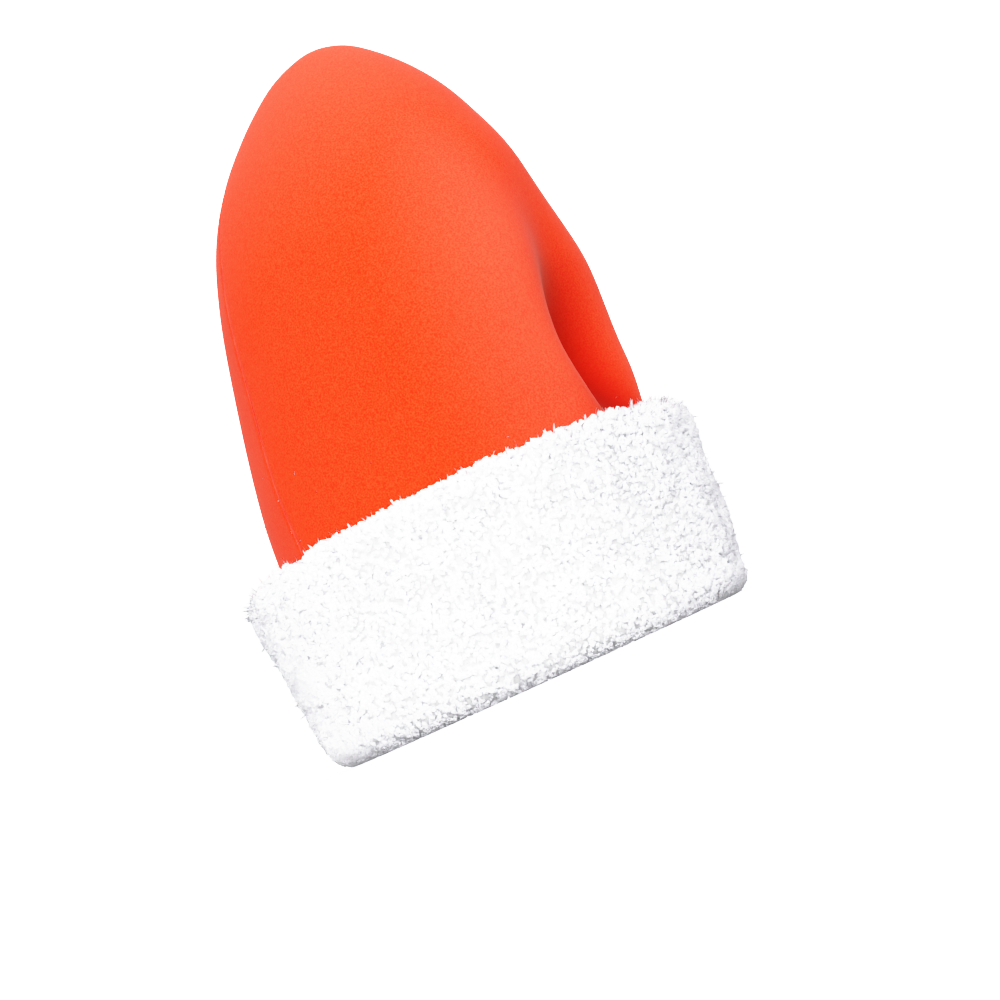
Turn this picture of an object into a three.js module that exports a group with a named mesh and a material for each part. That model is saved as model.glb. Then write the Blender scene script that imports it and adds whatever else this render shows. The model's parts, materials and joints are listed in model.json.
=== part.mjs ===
// A tall santa hat: a self-supporting crown of two foam panels, and a thick plush cuff round its rim.
// Millimetres, +Z up. The front of the hat faces -Y and the wearer's right is -X.
// The origin is on the floor, under the middle of the cuff.
import * as THREE from "three";

// Foam of the crown
const FOAM_WALL = 10;
const GLUE_LINE = 0.3;
const BACK_FULLNESS = 0.9;
const CLEARANCE = 0.3;

// Plush cuff
const CUFF_HEIGHT = 108;
const CUFF_FLOOR = 8;
const CUFF_LIP_Z = 104;
const CUFF_TOP = { front: 139, back: 140, side: 111 };
const CUFF_FOOT = { front: 129, back: 125, side: 106 };
const FOOT_ROUND = 13;
const SHOULDER_DROP = 14;
const RIDGE_SHARE = 0.45;
const TURN_IN_THICKNESS = 8;
const TURN_IN_HEIGHT = 46;
const TURN_IN_ROUND = 6;

// Locks of the plush: a staggered field of shallow swells
const LOCKS_AROUND = 24;
const LOCK_PITCH = 21;
const LOCK_DEPTH = 2.4;

// Sections of the crown's outer face, from the rim to just under the apex.
// front, back: reach from the axis; side: half width; dent: depth of the crease down the front;
// lobe: distance from the crease to the crest beside it; seam: half width of the back panel.
const CROWN_SECTIONS = [
  { z: CUFF_FLOOR + CLEARANCE, front: 117, back: 116, side: 96, dent: 0, lobe: 46, seam: 76 },
  { z: TURN_IN_HEIGHT, front: 119, back: 118, side: 94, dent: 6, lobe: 46, seam: 78 },
  { z: CUFF_LIP_Z, front: 118, back: 117, side: 90, dent: 14, lobe: 44, seam: 78 },
  { z: 148, front: 132, back: 113.8, side: 87.8, dent: 49, lobe: 60, seam: 72.6 },
  { z: 203, front: 136.5, back: 101.6, side: 82.8, dent: 32, lobe: 65, seam: 65 },
  { z: 257, front: 116, back: 86, side: 73, dent: 5, lobe: 53, seam: 55 },
  { z: 299, front: 100, back: 68, side: 60, dent: 0, lobe: 36, seam: 44 },
  { z: 332, front: 82, back: 38, side: 45, dent: 0, lobe: 30, seam: 27 },
  { z: 355, front: 61, back: 8, side: 28, dent: 0, lobe: 20, seam: 15 },
  { z: 364.5, front: 47, back: -14, side: 15, dent: 0, lobe: 12, seam: 8 },
  { z: 367.5, front: 36, back: -26, side: 5, dent: 0, lobe: 6, seam: 3 },
];
const APEX = { z: 368, forward: 31 };
const LIP_SECTION = 2;
const TURN_IN_SECTION = 1;
const TIP_SECTION = 9;

// Fineness of the faceting
const FRONT_COLUMNS = 20;
const FRONT_CROWDING = 1.2;
const BACK_COLUMNS = 7;
const SECTION_STEPS = 2;
const FOOT_STEPS = 4;
const WALL_STEPS = 12;
const SHOULDER_STEPS = 5;
const TURN_IN_STEPS = 3;
const FINE_SHARE = 2;

const FOAM_RED = new THREE.MeshStandardMaterial({ color: 0xf4512d, roughness: 0.95, metalness: 0 });
const PLUSH_WHITE = new THREE.MeshStandardMaterial({ color: 0xf6f5f8, roughness: 1, metalness: 0 });

// Value at t between b and c on the smooth curve through four equally spaced values.
function catmullRom(a, b, c, d, t) {
  const linear = (c - a) * t;
  const square = (2 * a - 5 * b + 4 * c - d) * t * t;
  const cube = (3 * b - a - 3 * c + d) * t * t * t;
  return 0.5 * (2 * b + linear + square + cube);
}

// Crown section at a row, where whole rows are the rows of the table.
function sectionAt(row) {
  const last = CROWN_SECTIONS.length - 1;
  const index = Math.min(Math.floor(row), last - 1);
  const near = [-1, 0, 1, 2].map((step) => CROWN_SECTIONS[THREE.MathUtils.clamp(index + step, 0, last)]);
  const section = {};
  for (const key of Object.keys(near[0])) {
    section[key] = catmullRom(...near.map((one) => one[key]), row - index);
  }
  return section;
}

// Columns of half the outline, from the middle of the back to the middle of the front.
// t runs from 1 at the seam to 0 at the middle of its panel.
function halfColumns(backCount, frontCount) {
  const columns = [];
  for (let k = 0; k <= backCount; k++) columns.push({ panel: "back", t: k / backCount });
  for (let k = frontCount; k >= 0; k--) columns.push({ panel: "front", t: (k / frontCount) ** FRONT_CROWDING });
  return columns;
}

// The half's columns on the wearer's right, then the same mirrored, counterclockwise seen from above.
function mirrored(half) {
  const right = half.map((column) => ({ ...column, side: 1 }));
  const left = half.slice(1, -1).map((column) => ({ ...column, side: -1 }));
  return [...right, ...left.reverse()];
}

// Columns for the crown keep both edges of each seam, and those for the cuff keep one.
const CROWN_COLUMNS = mirrored(halfColumns(BACK_COLUMNS, FRONT_COLUMNS));
const CUFF_COLUMNS = CROWN_COLUMNS.filter((column) => column.panel === "front" || column.t < 1);

// Point of a crown section's outer face at a column, with the seam's edge drawn back by trim.
function outlinePoint(section, column, trim) {
  const middle = (section.front - section.back) / 2;
  const reach = (section.front + section.back) / 2;
  const seamAngle = Math.PI - Math.asin(section.seam / section.side);
  if (column.panel === "back") {
    const seamForward = middle + reach * Math.cos(seamAngle);
    const fullness = BACK_FULLNESS * (seamForward - middle + reach);
    const right = section.seam * column.t - (column.t === 1 ? trim : 0);
    return { forward: seamForward - fullness * (1 - (right / section.seam) ** 2), right };
  }
  const angle = seamAngle * column.t - (column.t === 1 ? trim / section.side : 0);
  const right = section.side * Math.sin(angle);
  const arch = middle + reach * Math.cos(angle);
  const inDent = arch > middle && right < section.lobe;
  const dent = inDent ? section.dent * Math.cos((Math.PI / 2) * (right / section.lobe)) ** 2 : 0;
  return { forward: arch - dent, right };
}

function crownPoint(row, column, trim) {
  const section = sectionAt(row);
  const { forward, right } = outlinePoint(section, column, trim);
  return new THREE.Vector3(-right * column.side, -forward, section.z);
}

// Outward direction of the crown at a row and column, the same on both edges of a seam.
function crownNormal(row, index, columns) {
  const step = 1 / (2 * SECTION_STEPS);
  const last = CROWN_SECTIONS.length - 1;
  const count = columns.length;
  const atSeam = columns[index].t === 1;
  const skips = (offset) => columns[(index + offset + count) % count].t === 1 && atSeam;
  const before = columns[(index - (skips(-1) ? 2 : 1) + count) % count];
  const after = columns[(index + (skips(1) ? 2 : 1)) % count];
  const along = crownPoint(row, after, 0).sub(crownPoint(row, before, 0));
  const low = crownPoint(Math.max(row - step, 0), columns[index], 0);
  const high = crownPoint(Math.min(row + step, last), columns[index], 0);
  const normal = along.cross(high.sub(low));
  if (row === 0) normal.z = 0;
  return normal.normalize();
}

// One ring of the crown's form, moved outwards by offset.
function crownRing(row, columns, offset, trim = 0) {
  return columns.map((column, index) => {
    return crownPoint(row, column, trim).addScaledVector(crownNormal(row, index, columns), offset);
  });
}

// Rows of the crown, with two rows a glue line apart at the tip of the back panel.
function crownRows() {
  const rows = [];
  const middleOfBack = CROWN_COLUMNS[0];
  const below = crownPoint(TIP_SECTION - 0.5, middleOfBack, 0);
  const above = crownPoint(TIP_SECTION + 0.5, middleOfBack, 0);
  const tipTrim = GLUE_LINE / 2 / below.distanceTo(above);
  for (let k = 0; k <= (CROWN_SECTIONS.length - 1) * SECTION_STEPS; k++) {
    const row = k / SECTION_STEPS;
    if (row === TIP_SECTION) rows.push(row - tipTrim, row + tipTrim);
    else rows.push(row);
  }
  return rows;
}

// Geometry from triangles, each three points.
function geometryFrom(triangles) {
  return new THREE.BufferGeometry().setFromPoints(triangles.flat());
}

// Closed shell between an outer and an inner grid, over the cells that belong to the piece.
// The last row of each grid is its pole.
function shellGeometry(outer, inner, belongs) {
  const triangles = [];
  const rows = outer.length - 1;
  const count = outer[0].length;
  const has = (row, column) => row >= 0 && row < rows && belongs(row, (column + count) % count);
  for (let row = 0; row < rows; row++) {
    for (let column = 0; column < count; column++) {
      if (!has(row, column)) continue;
      const next = (column + 1) % count;
      const corners = [[row, column], [row, next], [row + 1, next], [row + 1, column]];
      const [a, b, c, d] = corners.map(([i, j]) => outer[i][j]);
      const [e, f, g, h] = corners.map(([i, j]) => inner[i][j]);
      triangles.push([a, b, c], [e, g, f]);
      if (row < rows - 1) triangles.push([a, c, d], [e, h, g]);
      if (!has(row - 1, column)) triangles.push([b, a, e], [b, e, f]);
      if (!has(row, column + 1)) triangles.push([c, b, f], [c, f, g]);
      if (!has(row + 1, column) && row < rows - 1) triangles.push([d, c, g], [d, g, h]);
      if (!has(row, column - 1)) triangles.push([a, d, h], [a, h, e]);
    }
  }
  return geometryFrom(triangles);
}

// Front sheet and back panel of the crown, cut from one shell along the seams.
function crownMeshes() {
  const rows = crownRows();
  const tip = TIP_SECTION * SECTION_STEPS;
  const pole = new THREE.Vector3(0, -APEX.forward, APEX.z);
  const innerPole = pole.clone().setZ(APEX.z - FOAM_WALL);
  const trim = GLUE_LINE / 2;
  const outer = rows.map((row) => crownRing(row, CROWN_COLUMNS, 0, trim));
  const inner = rows.map((row) => crownRing(row, CROWN_COLUMNS, -FOAM_WALL, trim));
  outer.push(CROWN_COLUMNS.map(() => pole));
  inner.push(CROWN_COLUMNS.map(() => innerPole));
  const panelOf = (index) => CROWN_COLUMNS[index % CROWN_COLUMNS.length].panel;
  const isPanel = (name, column) => panelOf(column) === name && panelOf(column + 1) === name;
  const front = shellGeometry(outer, inner, (row, column) => row > tip || isPanel("front", column));
  const back = shellGeometry(outer, inner, (row, column) => row < tip && isPanel("back", column));
  return [namedMesh("crown_front", front, FOAM_RED), namedMesh("crown_back", back, FOAM_RED)];
}

// Angles of the columns round the cuff, with more of them between each pair.
function fineAngles(columns) {
  return columns.flatMap((column, index) => {
    const next = columns[(index + 1) % columns.length];
    const a = cuffAngle(column);
    const step = THREE.MathUtils.euclideanModulo(cuffAngle(next) - a, 2 * Math.PI);
    return Array.from({ length: FINE_SHARE }, (_, k) => a + (step * k) / FINE_SHARE);
  });
}

// Angle of a column round the cuff's oval: 0 at the front, growing towards the wearer's left.
function cuffAngle(column) {
  const section = CROWN_SECTIONS[LIP_SECTION];
  const seamAngle = Math.PI - Math.asin(section.seam / section.side);
  const fromFront = column.panel === "front" ? seamAngle * column.t : Math.PI - (Math.PI - seamAngle) * column.t;
  return -fromFront * column.side;
}

// Swell of the locks at an angle and a height, from -1 in a parting to 0 on a crest.
function lockSwell(angle, z) {
  const across = Math.cos(LOCKS_AROUND * angle);
  const along = Math.cos((Math.PI * z) / LOCK_PITCH);
  return (across * along - 1) / 2;
}

// Point of the cuff's oval at a height, drawn in by inset, with the locks at a share of their depth.
function cuffPoint(angle, z, inset, lockShare) {
  const share = z / CUFF_HEIGHT;
  const size = (key) => THREE.MathUtils.lerp(CUFF_FOOT[key], CUFF_TOP[key], share);
  const grown = lockShare * LOCK_DEPTH * lockSwell(angle, z) - inset;
  const middle = (size("front") - size("back")) / 2;
  const reach = (size("front") + size("back")) / 2 + grown;
  const right = -(size("side") + grown) * Math.sin(angle);
  return new THREE.Vector3(-right, -(middle + reach * Math.cos(angle)), z);
}

// Rings of the cuff's outer face, from its flat foot up to where the shoulder begins.
function cuffWallRings(angles) {
  const rings = [];
  for (let k = 0; k <= FOOT_STEPS; k++) {
    const turn = ((Math.PI / 2) * k) / FOOT_STEPS;
    const z = FOOT_ROUND * (1 - Math.cos(turn));
    const inset = FOOT_ROUND * (1 - Math.sin(turn));
    rings.push(angles.map((angle) => cuffPoint(angle, z, inset, Math.sin(turn))));
  }
  const wallTop = CUFF_HEIGHT - SHOULDER_DROP;
  for (let k = 1; k <= WALL_STEPS; k++) {
    const z = THREE.MathUtils.lerp(FOOT_ROUND, wallTop, k / WALL_STEPS);
    rings.push(angles.map((angle) => cuffPoint(angle, z, 0, 1)));
  }
  return rings;
}

// Rings of the rounded shoulder, from the wall's top in to the ridge, between the wall and the crown.
function shoulderRings(angles, wallRing) {
  const lip = crownRing(LIP_SECTION, CUFF_COLUMNS, CLEARANCE);
  const fineLip = angles.map((_, index) => {
    const from = lip[Math.floor(index / FINE_SHARE)];
    const to = lip[(Math.floor(index / FINE_SHARE) + 1) % lip.length];
    return from.clone().lerp(to, (index % FINE_SHARE) / FINE_SHARE);
  });
  const rings = [];
  for (let k = 1; k <= SHOULDER_STEPS; k++) {
    const turn = ((Math.PI / 2) * k) / SHOULDER_STEPS;
    const share = RIDGE_SHARE + (1 - RIDGE_SHARE) * Math.cos(turn);
    const z = CUFF_HEIGHT - SHOULDER_DROP * (1 - Math.sin(turn));
    rings.push(wallRing.map((point, index) => fineLip[index].clone().lerp(point, share).setZ(z)));
  }
  return rings;
}

// Rings of the slot that holds the foam, down its outer face, and up the turn-in's outer face.
function slotRings() {
  const rings = [];
  const ringAt = (row, offset) => crownRing(row, CUFF_COLUMNS, offset);
  const floorAt = (offset) => ringAt(0, offset).map((point) => point.setZ(CUFF_FLOOR));
  for (let k = LIP_SECTION * SECTION_STEPS; k > 0; k--) rings.push(ringAt(k / SECTION_STEPS, CLEARANCE));
  rings.push(floorAt(CLEARANCE), floorAt(-FOAM_WALL - CLEARANCE));
  for (let k = 1; k <= TURN_IN_SECTION * SECTION_STEPS; k++) {
    rings.push(ringAt(k / SECTION_STEPS, -FOAM_WALL - CLEARANCE));
  }
  return rings;
}

// Rings of the turn-in's inner face, from its rounded top down and round to the foot.
function turnInRings() {
  const rings = [];
  const faceOffset = -FOAM_WALL - CLEARANCE - TURN_IN_THICKNESS;
  for (let k = TURN_IN_SECTION * SECTION_STEPS; k > 0; k--) {
    rings.push(crownRing(k / SECTION_STEPS, CUFF_COLUMNS, faceOffset));
  }
  for (let k = 0; k <= TURN_IN_STEPS; k++) {
    const turn = ((Math.PI / 2) * k) / TURN_IN_STEPS;
    const z = TURN_IN_ROUND * (1 - Math.sin(turn));
    const offset = faceOffset + TURN_IN_ROUND * (1 - Math.cos(turn));
    rings.push(crownRing(0, CUFF_COLUMNS, offset).map((point) => point.setZ(z)));
  }
  return rings;
}

// Triangles of the band from one ring to the next, where one of them may have twice the points.
// A square of the band is split from its lower to its upper ring in the same sense as the crown's.
function bandTriangles(low, high) {
  const triangles = [];
  const at = (ring, index) => ring[index % ring.length];
  const count = Math.min(low.length, high.length);
  const falls = high[0].z < low[0].z;
  for (let k = 0; k < count; k++) {
    if (low.length === high.length && falls) {
      triangles.push([low[k], at(low, k + 1), high[k]], [at(low, k + 1), at(high, k + 1), high[k]]);
    } else if (low.length === high.length) {
      triangles.push([low[k], at(low, k + 1), at(high, k + 1)], [low[k], at(high, k + 1), high[k]]);
    } else if (low.length > high.length) {
      const [a, b, c] = [0, 1, 2].map((step) => at(low, 2 * k + step));
      triangles.push([a, b, high[k]], [b, at(high, k + 1), high[k]], [b, c, at(high, k + 1)]);
    } else {
      const [a, b, c] = [0, 1, 2].map((step) => at(high, 2 * k + step));
      triangles.push([low[k], b, a], [low[k], at(low, k + 1), b], [at(low, k + 1), c, b]);
    }
  }
  return triangles;
}

// The cuff: a ring of plush whose section closes round the foam's edge.
function cuffMesh() {
  const angles = fineAngles(CUFF_COLUMNS);
  const wall = cuffWallRings(angles);
  const shoulder = shoulderRings(angles, wall.at(-1));
  const rings = [...wall, ...shoulder, ...slotRings(), ...turnInRings()];
  const triangles = rings.flatMap((ring, index) => bandTriangles(ring, rings[(index + 1) % rings.length]));
  return namedMesh("fur_cuff", geometryFrom(triangles), PLUSH_WHITE);
}

function namedMesh(name, geometry, material) {
  const mesh = new THREE.Mesh(geometry, material);
  mesh.name = name;
  return mesh;
}

const hat = new THREE.Group();
hat.add(...crownMeshes(), cuffMesh());

export default hat;
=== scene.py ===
"""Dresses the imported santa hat: two foam crown panels, their glued seams and a plush cuff.

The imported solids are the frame. The front of the hat faces -Y, the wearer's right is -X, and the hat
stands on the floor at z = 0. Sizes are in millimetres in the classes and in metres in the meshes.
"""

import json
import logging
import math
from collections.abc import Iterable
from dataclasses import astuple, dataclass
from enum import Enum
from typing import Any

import bpy
import numpy as np
from mathutils import Matrix, Vector

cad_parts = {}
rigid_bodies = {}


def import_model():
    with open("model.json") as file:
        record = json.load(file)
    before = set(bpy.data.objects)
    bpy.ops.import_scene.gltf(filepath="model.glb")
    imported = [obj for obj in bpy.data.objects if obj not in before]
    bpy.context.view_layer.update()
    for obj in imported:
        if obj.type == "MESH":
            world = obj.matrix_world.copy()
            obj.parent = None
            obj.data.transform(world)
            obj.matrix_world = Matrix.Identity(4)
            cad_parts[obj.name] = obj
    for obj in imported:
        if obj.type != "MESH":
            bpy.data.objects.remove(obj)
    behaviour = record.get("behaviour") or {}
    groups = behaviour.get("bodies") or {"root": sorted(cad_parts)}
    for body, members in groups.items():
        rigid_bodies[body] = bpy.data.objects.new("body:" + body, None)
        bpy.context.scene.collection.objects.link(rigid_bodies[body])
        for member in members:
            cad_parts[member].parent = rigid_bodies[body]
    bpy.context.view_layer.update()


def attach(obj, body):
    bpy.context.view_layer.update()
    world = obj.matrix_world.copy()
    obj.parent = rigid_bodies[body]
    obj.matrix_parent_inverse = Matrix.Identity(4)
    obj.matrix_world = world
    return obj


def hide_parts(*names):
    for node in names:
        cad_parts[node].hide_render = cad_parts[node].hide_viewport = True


MM = 0.001
ROOT_BODY = "root"
LOG = logging.getLogger("santa_hat")

Colour = tuple[float, float, float]
Span = tuple[float, float]
Faces = list[tuple[int, ...]]
Shape = tuple[np.ndarray, Faces]
Socket = bpy.types.NodeSocket


class Slot(Enum):
    """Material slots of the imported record."""

    FOAM = "red_foam"
    PLUSH = "white_plush"


class Panel(Enum):
    """The two foam panels of the crown."""

    FRONT = "crown_front"
    BACK = "crown_back"


class Link:
    """Adds nodes to one node tree and joins their sockets."""

    def __init__(self, tree: bpy.types.NodeTree) -> None:
        """Keeps the tree that the nodes go into."""
        self.tree = tree

    def node(self, kind: str, settings: dict[str, Any] | None = None, **inputs: Any) -> bpy.types.Node:
        """Adds one node.

        Args:
            kind: Blender's name for the node type.
            settings: Properties of the node itself.
            **inputs: Values or output sockets for the node's inputs, with _ for a space in a name.

        Returns:
            The new node.
        """
        node = self.tree.nodes.new(kind)
        for name, value in (settings or {}).items():
            setattr(node, name, value)
        self.fill(node, **inputs)
        return node

    def fill(self, node: bpy.types.Node, **inputs: Any) -> None:
        """Gives a node's inputs their values or output sockets, with _ for a space in a name."""
        for name, value in inputs.items():
            self.feed(node.inputs[name.replace("_", " ")], value)

    def feed(self, socket: Socket, value: Any) -> None:
        """Links an output socket to an input socket, or sets the input to a plain value.

        Args:
            socket: The input socket.
            value: An output socket or a plain value.
        """
        if isinstance(value, bpy.types.NodeSocket):
            self.tree.links.new(value, socket)
        else:
            socket.default_value = value

    def math(self, operation: str, first: Any, second: Any = 0.0) -> Socket:
        """Adds a Math node.

        Args:
            operation: Blender's name for the operation.
            first: First value or socket.
            second: Second value or socket.

        Returns:
            The result's socket.
        """
        node = self.node("ShaderNodeMath", {"operation": operation})
        self.feed(node.inputs[0], first)
        self.feed(node.inputs[1], second)
        return node.outputs[0]

    def remap(self, value: Socket, span: Span, low: Any, high: Any, kind: str = "LINEAR") -> Socket:
        """Maps a span of one value to a span of another, and holds it at both ends.

        Args:
            value: Socket of the first value.
            span: Where the result is low and where it is high.
            low: Result at the span's start.
            high: Result at the span's end.
            kind: Blender's name for the way between the ends.

        Returns:
            The result's socket.
        """
        node = self.node("ShaderNodeMapRange", {"interpolation_type": kind}, Value=value)
        self.fill(node, From_Min=span[0], From_Max=span[1], To_Min=low, To_Max=high)
        return node.outputs["Result"]

    def reach(self, value: Socket, limits: Span) -> Socket:
        """Adds a smooth share of a place along one axis, 0 and 1 at its limits in millimetres."""
        return self.remap(value, (limits[0] * MM, limits[1] * MM), 0.0, 1.0, kind="SMOOTHSTEP")

    def noise(self, place: Socket, size: float, detail: float = 2.0) -> Socket:
        """Adds noise with grains of a size in millimetres."""
        scale = 1 / (size * MM)
        return self.node("ShaderNodeTexNoise", Vector=place, Scale=scale, Detail=detail).outputs["Fac"]

    def bump(self, height: Socket, strength: float, depth: float, **inputs: Any) -> Socket:
        """Adds a bump of a depth in millimetres and gives its normal."""
        node = self.node("ShaderNodeBump", Height=height, Strength=strength, Distance=depth * MM, **inputs)
        return node.outputs["Normal"]

    def tones(self, share: Socket, span: Span, deep: Colour, light: Colour) -> Socket:
        """Adds a ramp between two colours.

        Args:
            share: Socket of the value that picks the colour.
            span: Values that give the deep and the light colour.
            deep: Colour at the low end.
            light: Colour at the high end.

        Returns:
            The colour's socket.
        """
        ramp = self.node("ShaderNodeValToRGB", Fac=share)
        for stop, place, colour in zip(ramp.color_ramp.elements, span, (deep, light)):
            stop.position = place
            stop.color = (*colour, 1.0)
        return ramp.outputs["Color"]

    def blend(self, share: Socket, under: Socket, over: Colour, kind: str = "MIX") -> Socket:
        """Lays a plain colour over another colour.

        Args:
            share: Socket of how much of the plain colour shows.
            under: Socket of the other colour.
            over: The plain colour.
            kind: Blender's name for the kind of mix.

        Returns:
            The colour's socket.
        """
        node = self.node("ShaderNodeMix", {"data_type": "RGBA", "blend_type": kind})
        for index, value in ((0, share), (6, under), (7, (*over, 1.0))):
            self.feed(node.inputs[index], value)
        return node.outputs[2]


@dataclass(frozen=True)
class Finish:
    """A procedural finish, built on one Principled shader."""

    name: str

    def start(self) -> tuple[bpy.types.Material, Link, bpy.types.Node, Socket]:
        """Makes the material with its shader.

        Returns:
            The material, its tree's link, its Principled node and its Object coordinates.
        """
        material = bpy.data.materials.new(self.name)
        material.use_nodes = True
        material.node_tree.nodes.clear()
        link = Link(material.node_tree)
        shader = link.node("ShaderNodeBsdfPrincipled")
        link.node("ShaderNodeOutputMaterial", Surface=shader.outputs["BSDF"])
        return material, link, shader, link.node("ShaderNodeTexCoord").outputs["Object"]


@dataclass(frozen=True)
class FoamFinish(Finish):
    """Matte open-cell foam with a fine grain and small pores.

    A painted highlight pales it on the crests of the front and near the tip, and painted shade deepens it in
    the dent's crease. The limits of both are in millimetres, from none to all of the change.
    """

    name: str = "red_foam"
    light: Colour = (0.97, 0.083, 0.028)
    deep: Colour = (0.90, 0.042, 0.011)
    pore: Colour = (0.70, 0.026, 0.006)
    grain_size: float = 0.9
    grain_span: Span = (0.36, 0.64)
    pore_size: float = 1.5
    pore_span: Span = (0.05, 0.3)
    pore_share: float = 0.5
    patch_size: float = 70.0
    relief: float = 0.12
    relief_strength: float = 0.6
    # Painted highlight: a paler, pinker tone added on the front crests and near the tip.
    painted_highlight: Colour = (0.0, 0.034, 0.031)
    painted_highlight_front: Span = (-35.0, -120.0)
    painted_highlight_side: Span = (10.0, 50.0)
    painted_highlight_top: Span = (225.0, 385.0)
    # Painted shade: a deeper red in the dent's crease.
    crease: Colour = (0.38, 0.011, 0.004)
    crease_shade_side: Span = (55.0, 5.0)
    crease_shade_front: Span = (-40.0, -75.0)
    crease_shade_top: Span = (240.0, 130.0)

    def painted_light_shares(self, link: Link, place: Socket) -> tuple[Socket, Socket]:
        """Where the painted highlight pales the foam, and where painted shade deepens it in the crease.

        Args:
            link: Adds nodes to the foam's tree.
            place: Object coordinates.

        Returns:
            The share of the painted highlight and the share of the painted shade in the crease.
        """
        spot = link.node("ShaderNodeSeparateXYZ", Vector=place).outputs
        off_centre = link.math("ABSOLUTE", spot["X"])
        # Painted highlight mask: off the centre line at the front, and near the tip.
        side = link.reach(off_centre, self.painted_highlight_side)
        front = link.reach(spot["Y"], self.painted_highlight_front)
        top = link.reach(spot["Z"], self.painted_highlight_top)
        painted_highlight = link.math("MAXIMUM", link.math("MULTIPLY", side, front), top)
        # Painted shade mask: near the centre line, towards the front and low in the dent.
        crease = link.reach(off_centre, self.crease_shade_side)
        for value, limits in ((spot["Y"], self.crease_shade_front), (spot["Z"], self.crease_shade_top)):
            crease = link.math("MULTIPLY", crease, link.reach(value, limits))
        return painted_highlight, crease

    def material(self) -> bpy.types.Material:
        """Builds the foam's material.

        Returns:
            The material.
        """
        material, link, shader, place = self.start()
        grain = link.noise(place, self.grain_size, detail=3.0)
        patch = link.noise(place, self.patch_size)
        cells = link.node("ShaderNodeTexVoronoi", Vector=place, Scale=1 / (self.pore_size * MM))
        pit = link.remap(cells.outputs["Distance"], self.pore_span, self.pore_share, 0.0)
        colour = link.tones(grain, self.grain_span, self.deep, self.light)
        colour = link.blend(link.math("MULTIPLY", pit, patch), colour, self.pore)
        painted_highlight, crease = self.painted_light_shares(link, place)
        # Painted highlight: the front crests and the tip are lighter and pinker.
        colour = link.blend(painted_highlight, colour, self.painted_highlight, "ADD")
        # Painted shade: the dent's crease is deeper red.
        colour = link.blend(crease, colour, self.crease)
        link.fill(
            shader,
            Base_Color=colour,
            Normal=link.bump(link.math("SUBTRACT", grain, pit), self.relief_strength, self.relief),
            Roughness=0.95,
            Specular_IOR_Level=0.03,
            Sheen_Weight=0.2,
            Sheen_Roughness=0.5,
            Sheen_Tint=(1.0, 0.66, 0.6, 1.0),
        )
        return material


@dataclass(frozen=True)
class PlushFinish(Finish):
    """White plush fibre that changes a little from tuft to tuft.

    It is greyer at its foot and at the front and back, which is painted shade. The limits of both are in
    millimetres, from none to all of the change.
    """

    name: str = "white_plush"
    light: Colour = (0.84, 0.836, 0.863)
    deep: Colour = (0.78, 0.776, 0.803)
    # Painted shade: the grey that the ends and the foot are mixed towards.
    painted_shade: Colour = (0.62, 0.616, 0.645)
    painted_shade_ends: Span = (60.0, 130.0)
    painted_shade_foot: Span = (30.0, -10.0)
    tuft_size: float = 6.0
    tuft_span: Span = (0.3, 0.7)
    curl_size: float = 2.2
    curl_relief: float = 0.8
    curl_strength: float = 0.8
    fibre_size: float = 0.5
    fibre_relief: float = 0.08
    fibre_strength: float = 0.5
    glow_depth: float = 7.0

    def material(self) -> bpy.types.Material:
        """Builds the plush's material.

        Returns:
            The material.
        """
        material, link, shader, place = self.start()
        colour = link.tones(link.noise(place, self.tuft_size), self.tuft_span, self.deep, self.light)
        spot = link.node("ShaderNodeSeparateXYZ", Vector=place).outputs
        # Painted shade mask: towards the front and back ends and towards the foot.
        ends = link.reach(link.math("ABSOLUTE", spot["Y"]), self.painted_shade_ends)
        painted_shade_share = link.math("MAXIMUM", ends, link.reach(spot["Z"], self.painted_shade_foot))
        curls = link.bump(link.noise(place, self.curl_size), self.curl_strength, self.curl_relief)
        fibre = link.noise(place, self.fibre_size)
        shader.subsurface_method = "BURLEY"
        link.fill(
            shader,
            Base_Color=link.blend(painted_shade_share, colour, self.painted_shade),
            Normal=link.bump(fibre, self.fibre_strength, self.fibre_relief, Normal=curls),
            Roughness=1.0,
            Specular_IOR_Level=0.03,
            Subsurface_Weight=0.95,
            Subsurface_Radius=(1.0, 1.0, 1.0),
            Subsurface_Scale=self.glow_depth * MM,
        )
        return material


@dataclass(frozen=True)
class GlueFinish(Finish):
    """Thin set glue in the seams, lighter than the foam and a little uneven."""

    name: str = "seam_glue"
    light: Colour = (0.86, 0.070, 0.030)
    deep: Colour = (0.78, 0.035, 0.010)
    run_size: float = 9.0
    run_span: Span = (0.35, 0.65)

    def material(self) -> bpy.types.Material:
        """Builds the glue's material.

        Returns:
            The material.
        """
        material, link, shader, place = self.start()
        run = link.noise(place, self.run_size, detail=3.0)
        link.fill(shader, Base_Color=link.tones(run, self.run_span, self.deep, self.light), Roughness=0.6)
        return material


def mesh_object(
    name: str, shape: Shape, material: bpy.types.Material | None = None, smooth: bool = True
) -> bpy.types.Object:
    """Makes a mesh object at the origin.

    Args:
        name: Name of the piece.
        shape: Points in millimetres, one row each, and the corner numbers of each face.
        material: The piece's finish, if it has one yet.
        smooth: Whether the faces are shaded smooth.

    Returns:
        The object, linked to the scene.
    """
    points, faces = shape
    mesh = bpy.data.meshes.new(name)
    mesh.from_pydata((points * MM).tolist(), [], [list(face) for face in faces])
    mesh.validate()
    mesh.polygons.foreach_set("use_smooth", [smooth] * len(mesh.polygons))
    if material:
        mesh.materials.append(material)
    mesh.update()
    made = bpy.data.objects.new(name, mesh)
    bpy.context.scene.collection.objects.link(made)
    return made


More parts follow.
